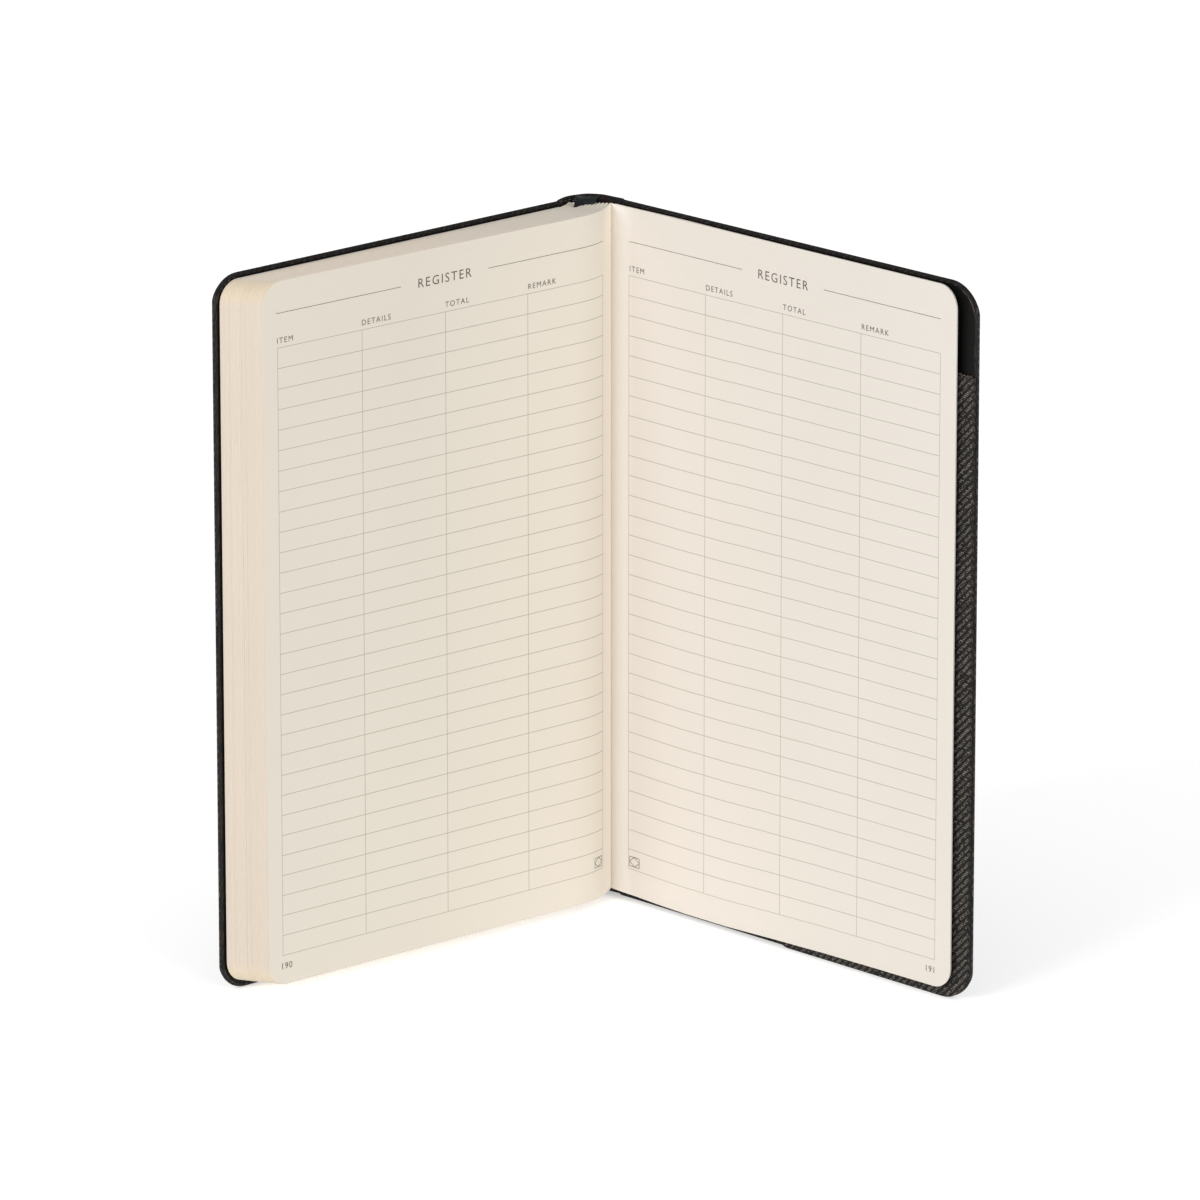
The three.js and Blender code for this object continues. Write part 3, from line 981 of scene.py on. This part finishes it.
def strokes(lines, width):
    """Straight strokes of one width, cut short enough to follow a bent page."""
    bm = bmesh.new()
    for a, b in lines:
        a, b = np.array(a, float), np.array(b, float)
        length = np.linalg.norm(b - a)
        along = (b - a) / length
        side = np.array([-along[1], along[0]]) * width / 2
        count = max(1, int(length / 1.5))
        marks = [a + (b - a) * i / count for i in range(count + 1)]
        pairs = [[bm.verts.new((*(m + s), 0)) for s in (side, -side)] for m in marks]
        for (p, q), (r, t) in zip(pairs, pairs[1:]):
            bm.faces.new((p, q, t, r))
    return mesh_of(bm, "strokes")


def page_print(name, number, outer_left, inner_left, surface):
    """Title, rules, column heads, page number and corner ornament of one page. Places are
    measured from the reader's left edge of the table; surface carries them to the frame."""
    centre = TABLE_WIDTH / 2
    rules = [
        ((start, TITLE_HEIGHT), (start + TITLE_RULE, TITLE_HEIGHT))
        for start in (0, TABLE_WIDTH - TITLE_RULE)
    ]
    parts = [strokes(rules, RULE)]
    parts.append(glyphs(TITLE, *TITLE_TYPE, "CENTER", centre, TITLE_HEIGHT - TITLE_DROP))
    for i, caption in enumerate(CAPTIONS):
        place = (i * COLUMN + 0.1, TABLE_HEAD + CAPTION_LIFT)
        parts.append(glyphs(caption, *CAPTION_TYPE, "LEFT", *place))
    anchor = "LEFT" if outer_left < centre else "RIGHT"
    parts.append(glyphs(number, *NUMBER_TYPE, anchor, outer_left, NUMBER_HEIGHT))
    x, z, w, h = inner_left, GEM_FOOT, GEM_WIDTH, GEM_HEIGHT
    box = [(x, z), (x + w, z), (x + w, z + h), (x, z + h)]
    gem = [(x + w / 2, z), (x + w, z + h / 2), (x + w / 2, z + h), (x, z + h / 2)]
    sides = [(a, b) for shape in (box, gem) for a, b in zip(shape, shape[1:] + shape[:1])]
    parts.append(strokes(sides, GEM_LINE))
    mesh = joined(name, parts)
    flat = coordinates(mesh)
    set_coordinates(mesh, surface(flat[:, 0], flat[:, 1]))
    made = as_object(name, mesh, INK)
    return made


def verso_surface(across, height):
    """Page 190: the outer face of the last signature's last leaf."""
    distance = VERSO_TABLE[0] + TABLE_WIDTH - across
    fan = fan_out(distance, LAST_NUMBER)
    out = LEAF_THICK / 2 * (1 + PLUMP * (fan - 1)) + INK_LIFT
    plan = SIGNATURE_PATHS[-1].place(distance, out)
    plan[:, 0] += (LEAVES - 2 - (LEAVES - 1) / 2) * LEAF_PITCH * fan
    return to_frame(plan, height)


def recto_surface(across, height):
    """Page 191: the inner face of the last leaf."""
    distance = RECTO_TABLE[0] + across
    height = height + RECTO_TABLE[1] - VERSO_TABLE[1]
    plan = LAST_LEAF_PATH.place(distance, -(LEAF_THICK / 2 + INK_LIFT))
    return to_frame(plan, height - foot_sag(distance, height))


verso = page_print("page_190_print", "190", -0.4, TABLE_WIDTH - 3.9, verso_surface)
VERSO_ENDS = blend_ends(SIGNATURE_PATHS[-1], *bend_range(LAST_NUMBER))
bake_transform(verso)
recto = page_print("page_191_print", "191", TABLE_WIDTH + 0.4, 0.4, recto_surface)
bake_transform(recto)


# Back of the block

GLUE_FILM = 0.08
GLUE_REACH = 0.05
GLUE_ROOT = 0.9
GLUE_FOOT, GLUE_HEAD = PAGE_FOOT + 0.2, PAGE_HEAD - 0.7


def prism(name, plan, low, high):
    """A closed upright prism on a plan outline."""
    plan = np.array(plan)
    rings = np.array([to_frame(plan, np.full(len(plan), z)) for z in (low, high)])
    along = np.concatenate([[0], np.cumsum(np.hypot(*np.diff(plan, axis=0).T))])
    round_trip = np.append(along, along[-1] + np.hypot(*(plan[0] - plan[-1])))
    uvs = np.array([[(d, z) for d in round_trip] for z in (low, high)])
    return skin(name, rings, uvs)


def fold_backs():
    """The nested folds of every signature."""
    meshes = []
    angles = np.radians(np.linspace(0, 180, 9))
    for k in range(SIGNATURES):
        x, head = fold_x(k), PAGE_HEAD - along_block(HEAD_SINK, 0, k)
        for i in range(LEAVES // 2):
            outer = (i + 0.5) * LEAF_PITCH + LEAF_THICK / 2
            arc = [
                (x + radius * math.cos(a), radius * math.sin(a) - FOLD_DEPTH)
                for radius, run in ((outer, angles), (outer - LEAF_THICK, angles[::-1]))
                for a in run
            ]
            meshes.append(prism("fold", arc, PAGE_FOOT, head))
    return meshes


def glue_outline():
    """A film over the folds, which fills the valleys between them to the leaves' roots."""
    outer = [
        (
            fold_x(k) + (FOLD_DEPTH + GLUE_REACH) * math.cos(a),
            FOLD_DEPTH * (math.sin(a) - 1) + GLUE_FILM,
        )
        for k in range(SIGNATURES)
        for a in np.radians(np.linspace(155, 25, 7))
    ]
    return outer + [(outer[-1][0], -GLUE_ROOT), (outer[0][0], -GLUE_ROOT)]


def block_back():
    glue = prism("glue", glue_outline(), GLUE_FOOT, GLUE_HEAD)
    glued = as_object("fold_glue_film", glue, GLUE)
    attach(glued, "spine")
    folds = as_object("folded_backs", joined("folded_backs", fold_backs()), ENDPAPER)
    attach(folds, "spine")
    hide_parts("sewn_folds")


block_back()


# Covers. The columns of an array of sections are places along a board's path, and its rows are
# the distance, half the thickness, the foot, the head, the recess's foot and head, and the place
# of the recess's floor through the thickness.

EDGE_STEPS = 5
RECESS = COVER_THICK - CLOTH_THICK
FORE_PRESS_WIDTH = 0.8
FORE_PRESS = 0.6


def board_ring(half, low, high, rim_low, rim_high, floor):
    """One section of a cloth board, round its folded edges and the recess for its lining."""
    bulge = [math.pi * (0.5 - i / (EDGE_STEPS + 1)) for i in range(EDGE_STEPS + 2)]
    head = [(half * math.sin(a), high - half + half * math.cos(a)) for a in bulge]
    recess = [(-half, rim_high), (floor, rim_high), (floor, rim_low), (-half, rim_low)]
    foot = [(half * math.sin(a), low + half - half * math.cos(a)) for a in bulge[::-1]]
    return np.array(head + recess + foot)


def board(name, path, side, sections):
    """A cloth board along a path; side is +1 where the path's normal points outwards."""
    rings, uvs = [], []
    for distance, *sizes in sections.T:
        outline = board_ring(*sizes)
        plan = path.place(np.full(len(outline), distance), side * outline[:, 0])
        rings.append(to_frame(plan, outline[:, 1]))
        steps = np.hypot(*np.diff(np.vstack([outline, outline[:1]]), axis=0).T)
        around = outline[0, 1] + np.concatenate([[0], np.cumsum(steps)])
        uvs.append(np.column_stack([np.full(len(around), -side * distance), around]))
    mesh = skin(name, np.array(rings), np.array(uvs))
    press_edges(mesh, sections[0])
    return mesh


def press_edges(mesh, stations):
    """Marks the folded edges of a board, where its weave is pressed flat and dark."""
    pressed = mesh.attributes.new("pressed", "FLOAT", "FACE")
    values = np.zeros(len(mesh.polygons))
    runs = values[:-2].reshape(len(stations) - 1, -1)
    runs[:, :EDGE_STEPS + 1] = 1
    runs[:, -(EDGE_STEPS + 2):-1] = 1
    runs[stations[:-1] > stations[-1] - FORE_PRESS_WIDTH] = FORE_PRESS
    pressed.data.foreach_set("value", values)


def cover_sections(root, length, corner):
    """Sections from a cover's root to its fore edge, with its rounded corners."""
    body = np.linspace(length, corner, 12)[:-1]
    rounding = quarter(corner, range(90, -1, -9)) + quarter(HALF, range(75, 5, -15))
    marks = np.round([*body, *rounding, RIM + 0.01, RIM - 0.01], 4)
    from_edge = np.unique(marks[marks > 0.01])[::-1]
    half = np.sqrt(HALF**2 - np.clip(HALF - from_edge, 0, HALF) ** 2)
    cut = draw_in(from_edge, corner)
    inner = np.maximum(RIM + draw_in(from_edge - RIM, corner - RIM), cut + HALF)
    floor = np.where(from_edge > RIM, RECESS - HALF, -half)
    stations = root + length - from_edge
    return np.array([stations, half, cut, COVER_HEAD - cut, inner, COVER_HEAD - inner, floor])


def wall_sections(stations):
    """Sections of a plain cloth wall without a recess, from the spine to a cover."""
    half = np.linspace(CROWN_WALL / 2, HALF, len(stations))
    foot = np.zeros(len(stations))
    head = foot + COVER_HEAD
    return np.array([stations, half, foot, head, foot + RIM, head - RIM, -half])


def crown_line():
    """The middle of the rounded spine wall, from the front bend line to the back joint."""
    points = [(SPINE_CENTRE[0] + a * CROWN_HALF, b * CROWN_RISE) for a, b in CROWN_LINE]
    points = np.array(points + [(SPINE_CENTRE[0] - CROWN_HALF, CROWN_FRONT)])
    padded = np.vstack([points[:1], points, points[-1:]])
    t = np.linspace(0, 1, 30, endpoint=False)[:, None]
    runs = [
        cubic(t, a, (b - before) / 2, b, (after - a) / 2)
        for before, a, b, after in zip(padded, padded[1:], padded[2:], padded[3:])
    ]
    return np.vstack(runs + [points[-1:]])[::-1]


CROWN = crown_line()
# How strongly the cloth's joints leave the spine wall and meet the covers
BACK_PULL, FRONT_PULL = 1.2, 2.2
BACK_HINGE = np.array([BACK_MID_X, BACK_ROOT])
BACK_LENGTH = BACK_ROOT - BACK_FORE
FRONT_HINGE = about((FRONT_MID_X, FRONT_ROOT), (FIRST_FOLD_X, -FIRST_BEND), FIRST_LEAN)
FRONT_LENGTH = FRONT_ROOT - FRONT_FORE


def heading_of(step):
    """Heading in degrees of a small step on the plan."""
    return math.degrees(math.atan2(step[0], -step[1]))


def back_cloth():
    """One cloth from the front hinge groove, over the spine, to the back cover's fore edge."""
    leave = heading_of(CROWN[-1] - CROWN[-3])
    joint = soft_curve(CROWN[-1], leave, BACK_HINGE, BACK_SWING, BACK_PULL, 30)
    far = np.linspace(BACK_HINGE, ray(BACK_HINGE, BACK_SWING, BACK_LENGTH), 300)
    path = Path(np.vstack([CROWN, joint[1:], far[1:]]))
    root = path.length - BACK_LENGTH
    spine = wall_sections(np.linspace(0, root - 0.05, 40))
    sections = np.hstack([spine, cover_sections(root, BACK_LENGTH, BACK_CORNER)])
    made = as_object("back_cover_cloth", board("back_cloth", path, 1, sections), CLOTH)
    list(blend_ends(path, root - 3.2, root + 1.6))
    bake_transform(made)
    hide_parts("back_cover_skin", "spine_skin")


def front_hinge_cloth():
    """The groove between the spine and the front cover."""
    leave = heading_of(CROWN[0] - CROWN[2])
    path = Path(soft_curve(CROWN[0], leave, FRONT_HINGE, FIRST_LEAN, FRONT_PULL))
    sections = wall_sections(np.linspace(0, path.length, 24))
    made = as_object("front_hinge_cloth", board("front_hinge", path, -1, sections), CLOTH)
    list(blend_ends(path, 0.2, path.length))
    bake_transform(made)


FRONT_JOINT = 4.4
JOINT_STEP = 0.6


def front_cloth():
    """The front cover's cloth, with more sections at its joint by the hinge."""
    path = straight(FRONT_HINGE, FIRST_LEAN, FRONT_LENGTH, 300)
    sections = cover_sections(0.0, FRONT_LENGTH, FRONT_CORNER)
    stations = [*np.arange(7) * JOINT_STEP, FRONT_JOINT]
    joint = np.repeat(sections[:, :1], len(stations), axis=1)
    joint[0] = stations
    sections = np.hstack([joint, sections[:, sections[0] > FRONT_JOINT + JOINT_STEP]])
    made = as_object("front_cover_cloth", board("front_cloth", path, -1, sections), CLOTH)
    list(blend_ends(path, 0.2, FRONT_JOINT))
    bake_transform(made)
    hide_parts("front_cover_skin")


back_cloth()
front_hinge_cloth()
front_cloth()


def panel(name, path, side, root, length, thick, low, high, corners, material, body):
    """A thin board with rounded corners: corners are the radii at the fore edge's foot and head,
    then at the root's foot and head."""
    half = thick / 2
    edge = quarter(half, (60, 30, 12))
    marks = [*np.linspace(0, length, 14), *(length - inside for inside in edge), *edge]
    for radius, at_root in zip(corners, (False, False, True, True)):
        for inside in quarter(radius, range(90, 8, -9)):
            if inside > 0.01:
                marks.append(inside if at_root else length - inside)
    least = edge[-1] - 1e-6
    marks = np.unique(np.round([m for m in marks if least <= m <= length - least], 4))
    left = length - marks
    here = np.sqrt(half**2 - np.clip(half - np.minimum(left, marks), 0, half) ** 2)
    foot = low + np.maximum(draw_in(left, corners[0]), draw_in(marks, corners[2]))
    head = high - np.maximum(draw_in(left, corners[1]), draw_in(marks, corners[3]))
    inset = half * 1.5
    sections = np.array([root + marks, here, foot, head, foot + inset, head - inset, -here])
    made = as_object(name, board(name, path, side, sections), material)
    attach(made, body)
    return made


LINING_THICK = 0.2
LINING_INSET = RIM + 0.1
LINING_ROOT = 0.1
LINING_ROOT_CORNER = 0.5


def linings():
    for name, hinge, heading, length, side, corner in (
        ("front_cover_lining", FRONT_HINGE, FIRST_LEAN, FRONT_LENGTH, -1, FRONT_CORNER),
        ("back_cover_lining", BACK_HINGE, BACK_SWING, BACK_LENGTH, 1, BACK_CORNER),
    ):
        middle = straight(hinge, heading, length, 200)
        path = Path(middle.place(middle.distance, -side * (HALF - LINING_THICK / 2)))
        corner -= LINING_INSET
        made = panel(
            f"{name}_sheet", path, side, LINING_ROOT, length - LINING_INSET - LINING_ROOT,
            LINING_THICK, LINING_INSET, COVER_HEAD - LINING_INSET,
            (corner, corner, LINING_ROOT_CORNER, LINING_ROOT_CORNER), LINING,
            name.removesuffix("_lining"),
        )
        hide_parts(name)


linings()

POCKET_START = about((POCKET_X, BACK_FORE + POCKET_WIDTH), BACK_HINGE, BACK_SWING)


def pocket():
    """Cloth-covered card over the outer half of the back cover."""
    path = straight(POCKET_START, BACK_SWING, POCKET_WIDTH, 120)
    made = panel(
        "pocket_panel_cloth", path, 1, 0.0, POCKET_WIDTH, POCKET_THICK, 0.0, POCKET_HEIGHT,
        (BACK_CORNER, SQUARE_CORNER, POCKET_CORNER, SQUARE_CORNER), CLOTH, "back_cover",
    )
    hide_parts("pocket_panel")


pocket()

STUB_PITCH = 0.34
STUB_MARGIN = 0.8
STUB_SEED = 5


def pocket_stubs():
    """The cut threads that show along the pocket's upper edge."""
    bm = bmesh.new()
    bmesh.ops.create_cone(bm, cap_ends=True, segments=5, radius1=0.11, radius2=0.05, depth=0.5)
    bmesh.ops.translate(bm, verts=bm.verts, vec=(0, 0, 0.2))
    row = run_tree("pocket_stubs", thread_row_tree(), mesh_of(bm, "pocket_stubs"), {
        "Count": int((POCKET_WIDTH - 2 * STUB_MARGIN) / STUB_PITCH),
        "Pitch": STUB_PITCH,
        "Seed": STUB_SEED,
        "Material": STUBS,
    })
    flat = coordinates(row)
    path = straight(POCKET_START, BACK_SWING, POCKET_WIDTH + 1, 120)
    plan = path.place(STUB_MARGIN + flat[:, 0], flat[:, 1] - 0.1)
    set_coordinates(row, to_frame(plan, POCKET_HEIGHT - 0.1 + flat[:, 2]))
    made = as_object("pocket_edge_threads", row, STUBS)
    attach(made, "back_cover")


pocket_stubs()


# Ribbon marker

RIBBON_WIDTH = 5.0
RIBBON_THICK = 0.18
RIBBON_SLOT = 3
RIBBON_NUMBER = RIBBON_SLOT - 0.5
RIBBON_FOOT = 34.4
RIBBON_TOP = 157.0
RIBBON_COUNT = 150


def ribbon_line():
    """The ribbon's middle: plan place, height and turn in degrees, from behind the folds, over
    the head and down between two signatures."""
    slot = np.array([fold_x(RIBBON_NUMBER), -3.4])
    back = np.array([fold_x(RIBBON_NUMBER) + RIBBON_WIDTH / 2, 0.75])
    keys = [(*back, height, 0) for height in (RIBBON_TOP, 165.0, 173.0, 178.6)]
    for x, y, height, turn in (
        (-0.05, -0.15, 179.9, -4),
        (-0.15, -0.8, 180.3, -16),
        (-0.35, -2.0, 180.15, -34),
        (-0.65, -3.1, 179.65, -50),
        (-1.0, -3.8, 178.7, -62),
    ):
        keys.append((back[0] + x, back[1] + y, height, turn))
    keys.append((slot[0] + 0.4, slot[1] + 0.1, 175.5, -76))
    keys += [(*slot, height, -90) for height in (170.0, 150.0, 110.0, 70.0, RIBBON_FOOT)]
    keys = np.array(keys, float)
    gaps = np.linalg.norm(np.diff(keys[:, :3], axis=0), axis=1)
    return through_keys(keys, np.concatenate([[0], np.cumsum(gaps**0.6)]), RIBBON_COUNT)


def through_keys(keys, knots, count):
    """Points on a smooth curve through keys, spaced evenly in its parameter."""
    slopes = np.gradient(keys, knots, axis=0)
    at = np.linspace(0, knots[-1], count)
    index = np.clip(np.searchsorted(knots, at, side="right") - 1, 0, len(knots) - 2)
    h = (knots[index + 1] - knots[index])[:, None]
    t = (at - knots[index])[:, None] / h
    return cubic(t, keys[index], h * slopes[index], keys[index + 1], h * slopes[index + 1])


def unit(vectors):
    return vectors / np.linalg.norm(vectors, axis=1)[:, None]


def ribbon():
    line = ribbon_line()
    middle, angle = line[:, :3], np.radians(line[:, 3])
    tangent = unit(np.gradient(middle, axis=0))
    width = np.column_stack([np.cos(angle), -np.sin(angle), np.zeros(len(line))])
    width = unit(width - tangent * (width * tangent).sum(1)[:, None])
    normal = np.cross(tangent, width) * RIBBON_THICK / 2
    steps = np.linalg.norm(np.diff(middle, axis=0), axis=1)
    along = np.concatenate([[0], np.cumsum(steps)])
    spread = np.linspace(-0.5, 0.5, 9) * RIBBON_WIDTH
    leaf = leaf_path(RIBBON_NUMBER)
    rings, uvs = [], []
    for p, w, n, d in zip(middle, width, normal, along):
        ring = np.array([p + w * s + n for s in spread] + [p + w * s - n for s in spread[::-1]])
        drift = leaf.place(np.clip(-ring[:, 1], 0, None))[:, 0] - fold_x(RIBBON_NUMBER)
        ring[:, 0] += drift
        rings.append(to_frame(ring[:, :2], ring[:, 2]))
        uvs.append([(d, s) for s in (*spread, *spread[::-1], spread[0])])
    mesh = skin("ribbon", np.array(rings), np.array(uvs))
    made = as_object("ribbon_marker_satin", mesh, RIBBON)
    ends = blend_ends(leaf, *bend_range(RIBBON_NUMBER))
    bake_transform(made)
    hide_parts("ribbon_marker")


ribbon()


# Finishes of the nodes that stay

for name, material in (
    ("spine_liner", LINER),
    ("spine_mull", GAUZE),
    ("front_cover_core", CARD),
    ("back_cover_core", CARD),
):
    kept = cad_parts[name]
    kept.data.materials.clear()
    kept.data.materials.append(material)


# Floor and light

ROOM_LIGHT = 0.56
FLOOR_GLOW = 0.42
FLOOR_SIZE = 6.0
# Name, place, size in metres and power of the soft lights, which point at the book's middle
LIGHTS = (("key", (-1.6, -1.8, 1.2), 1.2, 25), ("fill", (1.5, -1.9, 1.0), 1.4, 15))
LIGHT_TARGET = Vector((0, 0, 0.09))


def make_stage():
    bm = bmesh.new()
    bmesh.ops.create_grid(bm, x_segments=1, y_segments=1, size=FLOOR_SIZE)
    material, tree, shader = new_material("pale_floor")
    cloud = speckled(tree, 300.0, 2.0)["Broad"]
    colour = mix_colour(tree, cloud, (0.93, 0.93, 0.93, 1), (0.95, 0.95, 0.95, 1))
    set_surface(tree, shader, colour, 0.9, 0.1)
    shader.inputs["Emission Color"].default_value = (1, 1, 1, 1)
    shader.inputs["Emission Strength"].default_value = FLOOR_GLOW
    floor = as_object("floor", mesh_of(bm, "floor"), material)


def area_light(name, place, size, power):
    data = bpy.data.lights.new(name, "AREA")
    data.shape = "RECTANGLE"
    data.size = data.size_y = size
    data.energy = power
    light = in_scene(name, data)
    light.location = place
    light.rotation_mode = "QUATERNION"
    light.rotation_quaternion = (LIGHT_TARGET - Vector(place)).to_track_quat("-Z", "Y")


def make_light():
    """Soft light from the front; the camera sees a white room behind the floor."""
    world = bpy.data.worlds.new("studio")
    bpy.context.scene.world = world
    world.use_nodes = True
    tree = world.node_tree
    back = tree.nodes["Background"]
    back.inputs["Color"].default_value = (1, 1, 1, 1)
    seen = tree.nodes.new("ShaderNodeLightPath").outputs["Is Camera Ray"]
    tree.links.new(math_node(tree, "MAXIMUM", seen, ROOM_LIGHT), back.inputs["Strength"])
    for light in LIGHTS:
        area_light(*light)
    bpy.context.scene.view_settings.view_transform = "Standard"


make_stage()
make_light()
